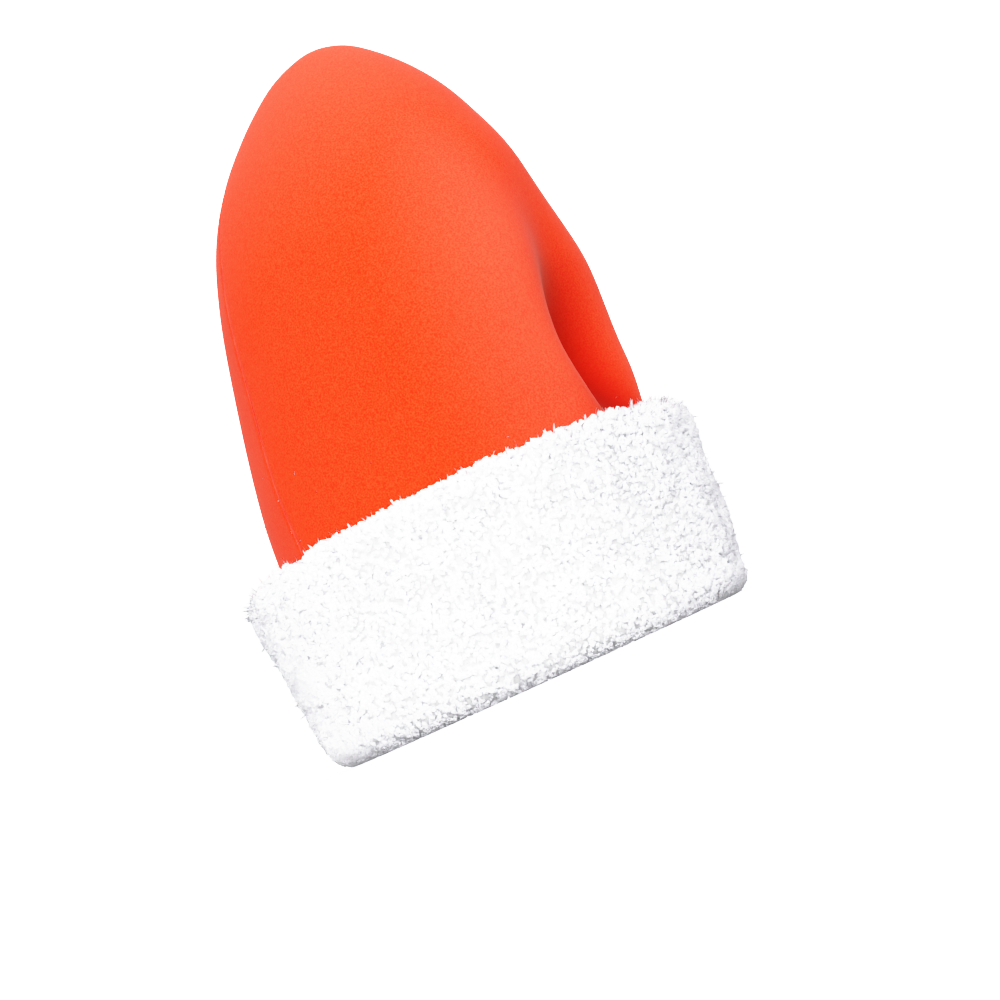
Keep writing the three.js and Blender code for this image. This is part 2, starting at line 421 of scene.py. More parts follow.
def enlist(piece: bpy.types.Object) -> None:
    """Puts a finished piece on the hat's body.

    Args:
        piece: The piece, with its mesh and finish.
    """
    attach(piece, ROOT_BODY)
    LOG.info("%s: %d faces", piece.name, len(piece.data.polygons))


def joined(shapes: Iterable[Shape]) -> Shape:
    """Several shapes as one.

    Args:
        shapes: Points and faces of each shape.

    Returns:
        All the points in one array, and all the faces on them.
    """
    points, faces, start = [], [], 0
    for part, part_faces in shapes:
        points.append(part)
        faces += [tuple(corner + start for corner in face) for face in part_faces]
        start += len(part)
    return np.concatenate(points), faces


def grid_faces(rows: int, count: int, round_rows: bool = False, round_columns: bool = True) -> Faces:
    """Faces of a grid of points.

    Args:
        rows: How many rows the grid has.
        count: How many points each row has.
        round_rows: Whether the last row joins the first.
        round_columns: Whether the last column joins the first.

    Returns:
        Corner numbers of each face.
    """
    faces = []
    for row in range(rows if round_rows else rows - 1):
        lower, upper = row * count, (row + 1) % rows * count
        for column in range(count if round_columns else count - 1):
            after = (column + 1) % count
            faces.append((lower + column, lower + after, upper + after, upper + column))
    return faces


def unit(vectors: np.ndarray) -> np.ndarray:
    """Vectors of length 1 in the same directions."""
    return vectors / np.linalg.norm(vectors, axis=-1, keepdims=True)


def loop_normals(loops: np.ndarray) -> np.ndarray:
    """Outward directions of a stack of closed loops, by loop and column."""
    along = np.roll(loops, -1, axis=1) - np.roll(loops, 1, axis=1)
    return unit(np.cross(along, np.gradient(loops, axis=0)))


def welded(points: np.ndarray, faces: Faces) -> Shape:
    """Drops unused points and joins those that meet.

    Args:
        points: Points in millimetres.
        faces: Corner numbers of each face.

    Returns:
        The points that are used, once each, and the faces on them.
    """
    places = 5
    used = np.unique(np.concatenate([np.array(face) for face in faces]))
    rounded = np.round(points[used], places)
    _, first, place = np.unique(rounded, axis=0, return_index=True, return_inverse=True)
    number = np.zeros(len(points), dtype=int)
    number[used] = place.reshape(-1)
    kept = [tuple(dict.fromkeys(number[list(face)].tolist())) for face in faces]
    return points[used][first], [face for face in kept if len(face) > 2]


def tube_mesh(path: np.ndarray, up: np.ndarray, radius: float, sides: int) -> Shape:
    """Closed tube along a path.

    Args:
        path: Points along the middle of the tube.
        up: Direction at each point that the first side of the tube faces.
        radius: The tube's radius, in the path's units.
        sides: How many sides the tube has.

    Returns:
        Points and the corner numbers of each face.
    """
    along = unit(np.gradient(path, axis=0))
    up = unit(up - along * np.sum(up * along, axis=1, keepdims=True))
    across = np.cross(along, up)
    turn = (2 * np.pi * np.arange(sides) / sides)[None, :, None]
    rings = path[:, None] + radius * (np.cos(turn) * up[:, None] + np.sin(turn) * across[:, None])
    rows = len(path)
    start_cap = tuple(range(sides))[::-1]
    end_cap = tuple(range((rows - 1) * sides, rows * sides))
    return rings.reshape(-1, 3), [start_cap, *grid_faces(rows, sides), end_cap]


@dataclass(frozen=True)
class CrownSection:
    """One level outline of the crown's outer face, in millimetres.

    front and back reach from the axis, side is half the width, dent is the depth of the crease down the
    front, lobe is the distance from the crease to the crest beside it, and seam is half the back panel.
    """

    z: float
    front: float
    back: float
    side: float
    dent: float
    lobe: float
    seam: float


@dataclass(frozen=True)
class CrownForm:
    """The crown's outer face, as a loop of columns at each level from the rim to the apex."""

    sections: tuple[CrownSection, ...] = (
        CrownSection(z=8.3, front=117, back=116, side=96, dent=0, lobe=46, seam=76),
        CrownSection(z=46, front=119, back=118, side=94, dent=6, lobe=46, seam=78),
        CrownSection(z=104, front=118, back=117, side=90, dent=14, lobe=44, seam=78),
        CrownSection(z=148, front=132, back=113.8, side=87.8, dent=49, lobe=60, seam=72.6),
        CrownSection(z=203, front=136.5, back=101.6, side=82.8, dent=32, lobe=65, seam=65),
        CrownSection(z=257, front=116, back=86, side=73, dent=5, lobe=53, seam=55),
        CrownSection(z=299, front=100, back=68, side=60, dent=0, lobe=36, seam=44),
        CrownSection(z=332, front=82, back=38, side=45, dent=0, lobe=30, seam=27),
        CrownSection(z=355, front=61, back=8, side=28, dent=0, lobe=20, seam=15),
        CrownSection(z=364.5, front=47, back=-14, side=15, dent=0, lobe=12, seam=8),
        CrownSection(z=367.5, front=36, back=-26, side=5, dent=0, lobe=6, seam=3),
    )
    apex_z: float = 368.0
    apex_forward: float = 31.0
    back_fullness: float = 0.9
    front_columns: int = 90
    back_columns: int = 44
    seam_crowding: float = 1.35
    lip_row: int = 2
    turn_in_row: int = 1
    tip_row: int = 9

    @property
    def columns(self) -> int:
        """How many columns go once round."""
        return 2 * (self.front_columns + self.back_columns)

    @property
    def seams(self) -> tuple[int, int]:
        """Columns of the seams on the wearer's right and left."""
        return self.back_columns, self.back_columns + 2 * self.front_columns

    def shares(self) -> tuple[np.ndarray, np.ndarray, np.ndarray]:
        """Each column's place, from the middle of the back round by the wearer's right.

        Returns:
            Whether the column is on the back panel, its share of the way from the panel's middle to the
            seam, and its side, 1 on the wearer's right and -1 on the left.
        """
        back = 1 - (1 - np.linspace(0, 1, self.back_columns + 1)) ** self.seam_crowding
        front = 1 - (1 - np.linspace(1, 0, self.front_columns + 1)[1:]) ** self.seam_crowding
        half = np.concatenate([back, front])
        on_back = np.arange(half.size) <= self.back_columns
        share = np.concatenate([half, half[-2:0:-1]])
        side = np.concatenate([np.ones(half.size), -np.ones(half.size - 2)])
        return np.concatenate([on_back, on_back[-2:0:-1]]), share, side

    def section_at(self, row: float) -> np.ndarray:
        """Sizes of the section at a row, on the smooth curve through the table's rows.

        Args:
            row: Row of the table, whole or between two rows.

        Returns:
            The section's seven sizes, in the order of CrownSection.
        """
        table = np.array([astuple(section) for section in self.sections])
        last = len(table) - 1
        index = min(math.floor(row), last - 1)
        a, b, c, d = table[np.clip(np.arange(index - 1, index + 3), 0, last)]
        t = row - index
        square = (2 * a - 5 * b + 4 * c - d) * t**2
        cube = (3 * b - a - 3 * c + d) * t**3
        return 0.5 * (2 * b + (c - a) * t + square + cube)

    def ring(self, row: float) -> np.ndarray:
        """The outer face's loop at a row.

        Args:
            row: Row of the table, whole or between two rows.

        Returns:
            Points in millimetres, one for each column.
        """
        z, front, back, side, dent, lobe, seam = self.section_at(row)
        on_back, share, hand = self.shares()
        middle = (front - back) / 2
        reach = (front + back) / 2
        seam_angle = math.pi - math.asin(seam / side)
        seam_forward = middle + reach * math.cos(seam_angle)
        fullness = self.back_fullness * (seam_forward - middle + reach)
        angle = seam_angle * share
        arch = middle + reach * np.cos(angle)
        wide = side * np.sin(angle)
        crease = dent * np.cos(np.pi / 2 * np.minimum(wide / lobe, 1)) ** 2
        panel = seam_forward - fullness * (1 - share**2)
        forward = np.where(on_back, panel, arch - crease * (arch > middle))
        right = np.where(on_back, seam * share, wide)
        return np.stack([-right * hand, -forward, np.full(share.shape, z)], axis=1)

    def normals(self, row: float) -> np.ndarray:
        """Outward directions of the outer face at a row.

        Args:
            row: Row of the table, whole or between two rows.

        Returns:
            Vectors of length 1, one for each column.
        """
        step = 0.125
        here = self.ring(row)
        along = np.roll(here, -1, axis=0) - np.roll(here, 1, axis=0)
        rise = self.ring(min(row + step, len(self.sections) - 1)) - self.ring(max(row - step, 0))
        normal = np.cross(along, rise)
        if row == 0:
            normal[:, 2] = 0
        return unit(normal)

    def offset_ring(self, row: float, offset: float) -> np.ndarray:
        """The loop at a row, moved outwards by offset, in millimetres."""
        return self.ring(row) + offset * self.normals(row)

    def rows(self, step: float) -> np.ndarray:
        """Rows of a fine grid, with every row of the table among them.

        Args:
            step: Height between two rows of the grid, in millimetres.

        Returns:
            The rows, from the rim to the last section.
        """
        found = [np.zeros(1)]
        fewest = 8
        for index in range(len(self.sections) - 1):
            height = self.sections[index + 1].z - self.sections[index].z
            count = max(round(height / step), fewest)
            found.append(index + np.arange(1, count + 1) / count)
        return np.concatenate(found)


@dataclass
class FoamCrown:
    """The two foam panels of the crown and the glue in the seams between them."""

    form: CrownForm
    finish: FoamFinish
    glue: GlueFinish
    wall: float = 10.0
    row_step: float = 2.8
    groove_depth: float = 0.7
    groove_width: float = 1.5
    edge_trim: float = 0.1
    sharp_angle: float = 50.0
    swell: float = 0.35
    swell_waves: int = 7
    swell_lengths: Span = (45.0, 110.0)
    cap_shares: tuple[float, ...] = (0.7, 0.4, 0.0)
    bead_radius: float = 0.5
    bead_rise: float = 0.5
    bead_sides: int = 6
    seed: int = 11

    def build(self) -> None:
        """Makes the panels and the glue, dresses them and puts them on the hat's body."""
        foam = self.finish.material()
        outer, inner = self.walls()
        for panel in Panel:
            piece = mesh_object(f"{panel.value}_foam", self.panel_mesh(panel, outer, inner), foam)
            piece.data.set_sharp_from_angle(angle=math.radians(self.sharp_angle))
            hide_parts(panel.value)
            enlist(piece)
        enlist(mesh_object("seam_glue", self.bead_mesh(), self.glue.material()))

    def walls(self) -> tuple[np.ndarray, np.ndarray]:
        """Grids of the crown's outer and inner faces, with the grooves along the seams.

        Returns:
            Points of the outer and of the inner face, by row and column, the last row at the apex.
        """
        rows = self.form.rows(self.row_step)
        outer = np.array([self.form.ring(row) for row in rows])
        normals = np.array([self.form.normals(row) for row in rows])
        inner = outer - self.wall * normals
        sunk = self.groove_depth * np.exp(-((self.seam_distance(outer) / self.groove_width) ** 2))
        outer = outer + (self.ripple(outer) - sunk)[..., None] * normals
        return self.close_top(outer, self.form.apex_z), self.close_top(inner, self.form.apex_z - self.wall)

    def seam_distance(self, grid: np.ndarray) -> np.ndarray:
        """Distance along the face from each point of a grid to the nearer seam.

        Args:
            grid: Points by row and column.

        Returns:
            Distances in millimetres, by row and column.
        """
        steps = np.linalg.norm(np.roll(grid, -1, axis=1) - grid, axis=2)
        length = np.concatenate([np.zeros((len(grid), 1)), np.cumsum(steps, axis=1)], axis=1)
        around = length[:, -1:]
        gaps = [np.abs(length[:, :-1] - length[:, seam : seam + 1]) for seam in self.form.seams]
        return np.minimum(*[np.minimum(gap, around - gap) for gap in gaps])

    def ripple(self, grid: np.ndarray) -> np.ndarray:
        """Slight unevenness of the foam.

        Args:
            grid: Points by row and column.

        Returns:
            How far each point swells, in millimetres.
        """
        draw = np.random.default_rng(self.seed)
        total = np.zeros(grid.shape[:2])
        for _ in range(self.swell_waves):
            wave = draw.normal(size=3)
            wave *= 2 * np.pi / draw.uniform(*self.swell_lengths) / np.linalg.norm(wave)
            total += np.sin(grid @ wave + draw.uniform(0, 2 * np.pi))
        return self.swell * total / math.sqrt(self.swell_waves)

    def close_top(self, grid: np.ndarray, apex_z: float) -> np.ndarray:
        """Adds shrinking rows from the last row to the apex.

        Args:
            grid: Points by row and column.
            apex_z: Height of the apex, in millimetres.

        Returns:
            The grid with its cap, whose last row lies at the apex.
        """
        apex = np.array([0, -self.form.apex_forward, apex_z])
        cap = [apex + (grid[-1] - apex) * np.array([share, share, share**2]) for share in self.cap_shares]
        return np.concatenate([grid, np.array(cap)])

    def panel_mesh(self, panel: Panel, outer: np.ndarray, inner: np.ndarray) -> Shape:
        """Closed shell of one panel.

        Args:
            panel: Which panel to make.
            outer: Points of the outer face by row and column.
            inner: Points of the inner face by row and column.

        Returns:
            Points in millimetres and the corner numbers of each face.
        """
        rows, count = outer.shape[0] - 1, outer.shape[1]
        tip = int(np.argmin(np.abs(self.form.rows(self.row_step) - self.form.tip_row)))
        right, left = self.form.seams
        in_front = (np.arange(count) >= right) & (np.arange(count) < left)
        cells = np.tile(in_front, (rows, 1))
        cells[tip:] = True
        if panel is Panel.BACK:
            cells = ~cells
        points = np.concatenate([self.trimmed(grid, cells).reshape(-1, 3) for grid in (outer, inner)])
        return welded(points, self.shell_faces(cells))

    def trimmed(self, grid: np.ndarray, cells: np.ndarray) -> np.ndarray:
        """Draws the panel's seam edges back from the glue line by a little.

        Args:
            grid: Points of a face by row and column.
            cells: Which cells of the grid belong to the panel.

        Returns:
            The grid with the edges moved.
        """
        moved = grid.copy()
        for seam in self.form.seams:
            step = 1 if cells[0, seam] else -1
            edge = grid[:, seam]
            inwards = grid[:, (seam + step) % grid.shape[1]] - edge
            length = np.maximum(np.linalg.norm(inwards, axis=1, keepdims=True), self.edge_trim)
            bare = np.append(cells[:, seam] != cells[:, seam - 1], False)
            moved[:, seam] = edge + np.where(bare[:, None], self.edge_trim * inwards / length, 0)
        return moved

    def shell_faces(self, cells: np.ndarray) -> Faces:
        """Faces of the shell between the outer and the inner grid, over the panel's cells.

        Args:
            cells: Which cells of the grid belong to the panel.

        Returns:
            Corner numbers of each face, facing out of the shell.
        """
        rows, count = cells.shape
        under = (rows + 1) * count
        faces = []
        for row, column in zip(*np.nonzero(cells)):
            after = (column + 1) % count
            a, b = row * count + column, row * count + after
            c, d = b + count, a + count
            faces.append((a, b, c, d))
            faces.append((a + under, d + under, c + under, b + under))
            if row == 0 or not cells[row - 1, column]:
                faces.append((b, a, a + under, b + under))
            if row + 1 < rows and not cells[row + 1, column]:
                faces.append((d, c, c + under, d + under))
            if not cells[row, after]:
                faces.append((c, b, b + under, c + under))
            if not cells[row, column - 1]:
                faces.append((a, d, d + under, a + under))
        return faces

    def bead_mesh(self) -> Shape:
        """Thin beads of glue along both seams and across the tip of the back panel.

        Returns:
            Points in millimetres and the corner numbers of each face.
        """
        rows = self.form.rows(self.row_step)
        rows = rows[rows <= self.form.tip_row]
        rings = np.array([self.form.ring(row) for row in rows])
        ups = np.array([self.form.normals(row) for row in rows])
        right, left = self.form.seams
        across = np.r_[left : self.form.columns, 0 : right + 1]
        lines = [(rings[:, seam], ups[:, seam]) for seam in (right, left)]
        lines.append((rings[-1][across], ups[-1][across]))
        depth = self.groove_depth - self.bead_rise * self.bead_radius
        size = (self.bead_radius, self.bead_sides)
        return joined(tube_mesh(path - up * depth, up, *size) for path, up in lines)


@dataclass(frozen=True)
class Strands:
    """Many small tapered curls, each a closed tube that bends along its own path to a point."""

    paths: np.ndarray
    radii: np.ndarray
    sides: int = 5
    steep: float = 0.8

    def mesh(self) -> Shape:
        """Points and faces of all the curls.

        Returns:
            Points in the units of the paths, and the corner numbers of each face.
        """
        count, levels = self.paths.shape[:2]
        along = unit(np.gradient(self.paths, axis=1)[:, :-1])
        aside = np.where(np.abs(along[..., :1]) < self.steep, [[[1.0, 0.0, 0.0]]], [[[0.0, 1.0, 0.0]]])
        across = unit(np.cross(along, aside))
        third = np.cross(along, across)
        turn = (2 * np.pi * np.arange(self.sides) / self.sides)[None, None, :, None]
        out = np.cos(turn) * across[:, :, None] + np.sin(turn) * third[:, :, None]
        rings = self.paths[:, :-1, None] + self.radii[..., None, None] * out
        points = np.concatenate([rings.reshape(count, -1, 3), self.paths[:, -1:]], axis=1)
        pattern = self.pattern(levels - 1)
        return joined((curl, pattern) for curl in points)

    def pattern(self, rings: int) -> Faces:
        """Faces of one curl: its foot, the bands between its rings and its point.

        Args:
            rings: How many rings the curl has.

        Returns:
            Corner numbers of each face.
        """
        sides = self.sides
        last, tip = (rings - 1) * sides, rings * sides
        point = [(last + side, last + (side + 1) % sides, tip) for side in range(sides)]
        return [tuple(reversed(range(sides))), *grid_faces(rings, sides), *point]


def curl_paths(levels: Iterable[tuple[np.ndarray, np.ndarray, np.ndarray]]) -> np.ndarray:
    """Paths of curls that share one foot.

    Args:
        levels: Each level's distance from the foot, angle about it and height, for every curl.

    Returns:
        Points by curl and level.
    """
    points = [np.stack([out * np.cos(angle), out * np.sin(angle), z], axis=1) for out, angle, z in levels]
    return np.stack(points, axis=1)


@dataclass(frozen=True)
class Tuft:
    """A small rosette of plush curls that rise from one foot and roll over at their crests.

    The spans are of random draws, for each curl or for the whole tuft.
    """

    curls: int = 3
    height: float = 1.15
    root: float = -1.0
    foot_spread: float = 0.5
    crest_spread: float = 1.1
    tip_spread: float = 2.3
    tip_drop: float = 0.65
    crest_turn: float = 0.6
    tip_turn: float = 1.2
    thickness: float = 1.1
    taper: tuple[float, ...] = (0.9, 1.0)
    turn_span: Span = (-0.35, 0.35)
    swirl_span: Span = (0.3, 0.9)
    spread_span: Span = (0.6, 1.25)
    height_span: Span = (0.75, 1.1)
    girth_span: Span = (0.8, 1.15)

    def mesh(self, seed: int) -> Shape:
        """One variant of the tuft, standing on z = 0.

        Args:
            seed: Fixes the variant.

        Returns:
            Points in millimetres and the corner numbers of each face.
        """
        draw = np.random.default_rng(seed)
        turn = 2 * np.pi * (np.arange(self.curls) + draw.uniform(*self.turn_span, self.curls)) / self.curls
        swirl = draw.uniform(*self.swirl_span) * draw.choice([-1, 1])
        spread = draw.uniform(*self.spread_span, self.curls)
        tall = self.height * draw.uniform(*self.height_span, self.curls)
        levels = [
            (self.foot_spread * spread, turn, np.full(self.curls, self.root)),
            (self.crest_spread * spread, turn + self.crest_turn * swirl, tall),
            (self.tip_spread * spread, turn + self.tip_turn * swirl, tall - self.tip_drop),
        ]
        girth = self.thickness * draw.uniform(*self.girth_span, self.curls)
        return Strands(curl_paths(levels), girth[:, None] * np.array([self.taper])).mesh()


@dataclass(frozen=True)
class Wisp:
    """Loose fibres and small pointed locks that stand out of the pile from one foot.

    The spans are of random draws for each fibre. Each of the steps gives the share of the lean, of the curl
    and of the height that a fibre has at one level.
    """

    fibres: int = 2
    height: float = 4.6
    lean: float = 2.2
    fibre_radius: float = 0.14
    lock_radius: float = 0.62
    lock_share: float = 0.4
    sides: int = 3
    taper: tuple[float, ...] = (1.0, 0.8, 0.45)
    steps: tuple[tuple[float, float, float], ...] = (
        (0.15, 0.0, 0.0),
        (0.3, 0.0, 0.45),
        (0.6, 0.5, 0.8),
        (1.0, 1.0, 1.0),
    )
    curl_span: Span = (-1.0, 1.0)
    lean_span: Span = (0.3, 1.2)
    height_span: Span = (0.7, 1.15)
    girth_span: Span = (0.8, 1.2)

    def mesh(self, seed: int) -> Shape:
        """One variant of the wisp, standing on z = 0.

        Args:
            seed: Fixes the variant.

        Returns:
            Points in millimetres and the corner numbers of each face.
        """
        draw = np.random.default_rng(seed)
        turn = draw.uniform(0, 2 * np.pi, self.fibres)
        curl = draw.uniform(*self.curl_span, self.fibres)
        lean = self.lean * draw.uniform(*self.lean_span, self.fibres)
        tall = self.height * draw.uniform(*self.height_span, self.fibres)
        levels = [(out * lean, turn + bend * curl, rise * tall) for out, bend, rise in self.steps]
        is_lock = draw.random(self.fibres) < self.lock_share
        girth = np.where(is_lock, self.lock_radius, self.fibre_radius)
        girth = girth * draw.uniform(*self.girth_span, self.fibres)
        return Strands(curl_paths(levels), girth[:, None] * np.array([self.taper]), self.sides).mesh()


@dataclass(frozen=True)
class PilePlanting:
    """A Geometry Nodes tree that plants tufts all over a bed, and the sizes that it takes."""

    spacing: float = 2.3
    tilt: float = 0.5
    smallest: float = 0.8
    largest: float = 1.2
    floor: float = 0.2
    densest: float = 4.0e5
    seed: int = 5

    def tree(self) -> bpy.types.NodeTree:
        """Builds the tree.

        Returns:
            The tree, with named inputs for its sizes, seed, tufts and material.
        """
        tree = bpy.data.node_groups.new("plant_pile", "GeometryNodeTree")
        kinds = {"Bed": "Geometry", "Tufts": "Collection", "Seed": "Int", "Material": "Material"}
        kinds |= dict.fromkeys(("Spacing", "Tilt", "Smallest", "Largest", "Floor"), "Float")
        for name, kind in kinds.items():
            tree.interface.new_socket(name, in_out="INPUT", socket_type=f"NodeSocket{kind}")
        tree.interface.new_socket("Pile", in_out="OUTPUT", socket_type="NodeSocketGeometry")
        link = Link(tree)
        given = link.node("NodeGroupInput").outputs
        reader = ("GeometryNodeInputNamedAttribute", {"data_type": "FLOAT"})
        cover, depth = [link.node(*reader, Name=name).outputs["Attribute"] for name in ("cover", "depth")]
        scatter = link.node(
            "GeometryNodeDistributePointsOnFaces",
            {"distribute_method": "POISSON"},
            Mesh=given["Bed"],
            Distance_Min=given["Spacing"],
            Density_Max=self.densest,
            Density_Factor=cover,
            Seed=given["Seed"],
        )
        tufts = link.node("GeometryNodeCollectionInfo", Collection=given["Tufts"])
        link.fill(tufts, Separate_Children=True, Reset_Children=True)
        turned = link.node(
            "FunctionNodeRotateRotation",
            {"rotation_space": "LOCAL"},
            Rotation=scatter.outputs["Rotation"],
            Rotate_By=self.random_turn(link, given["Seed"], given["Tilt"]),
        )
        draw = link.node("FunctionNodeRandomValue", {"data_type": "FLOAT"})
        link.feed(draw.inputs[2], given["Smallest"])
        link.feed(draw.inputs[3], given["Largest"])
        link.feed(draw.inputs["Seed"], link.math("ADD", given["Seed"], 1))
        size = draw.outputs[1]
        scale = link.node("ShaderNodeCombineXYZ", X=size, Y=size, Z=link.math("MULTIPLY", size, depth))
        planted = link.node(
            "GeometryNodeInstanceOnPoints",
            Points=scatter.outputs["Points"],
            Instance=tufts.outputs["Instances"],
            Pick_Instance=True,
            Rotation=turned.outputs["Rotation"],
            Scale=scale.outputs["Vector"],
        )
        pile = link.node("GeometryNodeRealizeInstances", Geometry=planted.outputs["Instances"])
        place = link.node("GeometryNodeInputPosition").outputs[0]
        spot = link.node("ShaderNodeSeparateXYZ", Vector=place).outputs
        height = link.math("MAXIMUM", spot["Z"], given["Floor"])
        kept = link.node("ShaderNodeCombineXYZ", X=spot["X"], Y=spot["Y"], Z=height).outputs["Vector"]
        pile = link.node("GeometryNodeSetPosition", Geometry=pile.outputs["Geometry"], Position=kept)
        pile = link.node("GeometryNodeSetMaterial", Geometry=pile.outputs["Geometry"])
        link.fill(pile, Material=given["Material"])
        link.node("NodeGroupOutput", Pile=pile.outputs["Geometry"])
        return tree

    def random_turn(self, link: Link, seed: Socket, tilt: Socket) -> Socket:
        """Adds a random turn for each tuft: a lean either way, then a spin about its own axis.

        Args:
            link: The tree's link.
            seed: Socket of the seed.
            tilt: Socket of the widest lean, in radians.

        Returns:
            Socket of the rotation.
        """
        draw = link.node("FunctionNodeRandomValue", {"data_type": "FLOAT_VECTOR"}, Seed=seed)
        ends = ((link.math("MULTIPLY", tilt, -1.0), 0.0), (tilt, 2 * math.pi))
        for index, (lean, spin) in enumerate(ends):
            end = link.node("ShaderNodeCombineXYZ", X=lean, Y=lean, Z=spin)
            link.feed(draw.inputs[index], end.outputs["Vector"])
        return link.node("FunctionNodeEulerToRotation", Euler=draw.outputs[0]).outputs["Rotation"]

    def plant(
        self,
        bed: bpy.types.Object,
        tree: bpy.types.NodeTree,
        tufts: bpy.types.Collection,
        material: bpy.types.Material,
        seed: int,
    ) -> None:
        """Replaces a bed's mesh by the pile that grows on it.

        Args:
            bed: Object whose mesh is the bed, with cover and depth on its points.
            tree: The planting tree.
            tufts: Collection of the tuft's variants.
            material: Finish of the pile.
            seed: Seed of this bed.
        """
        values = {
            "Tufts": tufts,
            "Spacing": self.spacing * MM,
            "Tilt": self.tilt,
            "Smallest": self.smallest,
            "Largest": self.largest,
            "Floor": self.floor * MM,
            "Seed": self.seed + seed,
            "Material": material,
        }
        modifier = bed.modifiers.new("pile", "NODES")
        modifier.node_group = tree
        for item in tree.interface.items_tree:
            if item.name in values:
                modifier[item.identifier] = values[item.name]
        graph = bpy.context.evaluated_depsgraph_get()
        mesh = bpy.data.meshes.new_from_object(bed.evaluated_get(graph), depsgraph=graph)
        bed.modifiers.remove(modifier)
        old = bed.data
        bed.data = mesh
        bpy.data.meshes.remove(old)
        mesh.name = bed.name
        mesh.polygons.foreach_set("use_smooth", [True] * len(mesh.polygons))
        mesh.update()


@dataclass(frozen=True)
class Oval:
    """An oval level of the cuff, by its reach to the front, the back and either side."""

    front: float
    back: float
    side: float


@dataclass
class PlushCuff:
    """The plush cuff: a padded backing that wraps the foam's edge, and the pile that grows on it.

    The ground under the tufts is whiter than they are, for the light that passes through real fibres. A span
    is of random draws, and the rows are the crown's.
    """

    crown: CrownForm
    finish: PlushFinish
    # Its grey is the painted shade at the ends and the foot, lighter than the pile's.
    ground: PlushFinish = PlushFinish(
        name="plush_ground", light=(0.97, 0.967, 0.975), deep=(0.95, 0.947, 0.955), painted_shade=(0.93, 0.927, 0.94)
    )
    tuft: Tuft = Tuft()
    wisp: Wisp = Wisp()
    planting: PilePlanting = PilePlanting()
    wisp_planting: PilePlanting = PilePlanting(spacing=4.0, tilt=0.35, seed=31)
    top: Oval = Oval(front=139, back=140, side=111)
    foot: Oval = Oval(front=129, back=125, side=106)
    height: float = 108.0
    floor: float = 8.0
    foot_round: float = 13.0
    shoulder_drop: float = 14.0
    ridge_share: float = 0.45
    crest_lift: float = 2.5
    lip_shares: tuple[float, ...] = (0.66, 0.33, 0.0)
    lip_gap_rows: float = 0.06
    turn_in_round: float = 6.0
    turn_in_crest: float = 1.0
    turn_in_thickness: float = 8.0
    foam_wall: float = 10.0
    clearance: float = 0.3
    lint_count: int = 40
    lint_reach: float = 2.4
    lint_radius: float = 0.13
    lint_sides: int = 3
    lint_lowest_row: float = 0.25
    lint_spread_rows: float = 1.1
    lint_steps: tuple[float, ...] = (-0.5, -0.15, 0.2, 0.5)
    lint_bend_span: Span = (-0.5, 0.5)
    lint_reach_span: Span = (0.5, 1.2)
    lock_depth: float = 1.5
    lock_contrast: float = 0.6
    locks_around: int = 24
    lock_pitch: float = 21.0
    lump: float = 0.7
    lump_waves: int = 9
    lump_turns: tuple[int, int] = (4, 26)
    lump_lengths: Span = (28.0, 80.0)
    wisps_on_wall: float = 0.2
    lining_cover: float = 0.7
    pile_depth: float = 2.2
    lip_depth: float = 2.2
    rim_depth: float = 1.4
    rim_loops: int = 4
    lining_depth: float = 2.2
    foot_steps: int = 7
    wall_steps: int = 26
    shoulder_steps: int = 10
    slot_steps: int = 6
    sectors: int = 6
    variants: int = 8
    seed: int = 23

    @property
    def behind(self) -> float:
        """Offset from the foam's outer face to the slot's inner face, in millimetres."""
        return -self.foam_wall - self.clearance

    def build(self) -> None:
        """Makes the backing and the pile, dresses them and puts them on the hat's body."""
        plush = self.finish.material()
        outside, lining = self.outside_bed(), self.lining_bed()
        loops = np.concatenate([outside, self.slot_loops(), lining])
        faces = grid_faces(*loops.shape[:2], round_rows=True)
        backing = mesh_object("cuff_backing", (loops.reshape(-1, 3), faces), self.ground.material())
        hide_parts("fur_cuff")
        enlist(backing)
        self.grow_pile(outside, lining, plush)
        enlist(mesh_object("shed_fibres", self.lint_mesh(), plush))

    def lint_mesh(self) -> Shape:
        """Short fibres shed by the pile, which cling to the foam just above the cuff.

        Returns:
            Points in millimetres and the corner numbers of each face.
        """
        draw = np.random.default_rng(self.seed)
        above_lip = self.lint_spread_rows * draw.random(self.lint_count) ** 2
        rows = self.crown.lip_row + self.lint_lowest_row + above_lip
        paths = []
        for row in rows:
            column = draw.integers(0, self.crown.columns)
            ring, normal = self.crown.ring(row), self.crown.normals(row)[column]
            along = ring[(column + 1) % self.crown.columns] - ring[column]
            along = unit(along - normal * (along @ normal))
            aside = np.cross(normal, along)
            heading = draw.uniform(0, 2 * np.pi)
            bend = draw.uniform(*self.lint_bend_span)
            reach = self.lint_reach * draw.uniform(*self.lint_reach_span)
            middle = ring[column] + self.lint_radius * normal
            angles = [heading + bend * step for step in range(len(self.lint_steps))]
            ways = [math.cos(angle) * along + math.sin(angle) * aside for angle in angles]
            paths.append([middle + share * reach * way for share, way in zip(self.lint_steps, ways)])
        radii = np.full((self.lint_count, len(self.lint_steps) - 1), self.lint_radius)
        return Strands(np.array(paths), radii, self.lint_sides).mesh()

    def angles(self) -> np.ndarray:
        """Angle of each column round the cuff.

        Returns:
            Angles in radians, 0 at the front and growing towards the wearer's left.
        """
        lip = self.crown.sections[self.crown.lip_row]
        seam_angle = math.pi - math.asin(lip.seam / lip.side)
        on_back, share, hand = self.crown.shares()
        from_front = np.where(on_back, math.pi - (math.pi - seam_angle) * share, seam_angle * share)
        return -from_front * hand

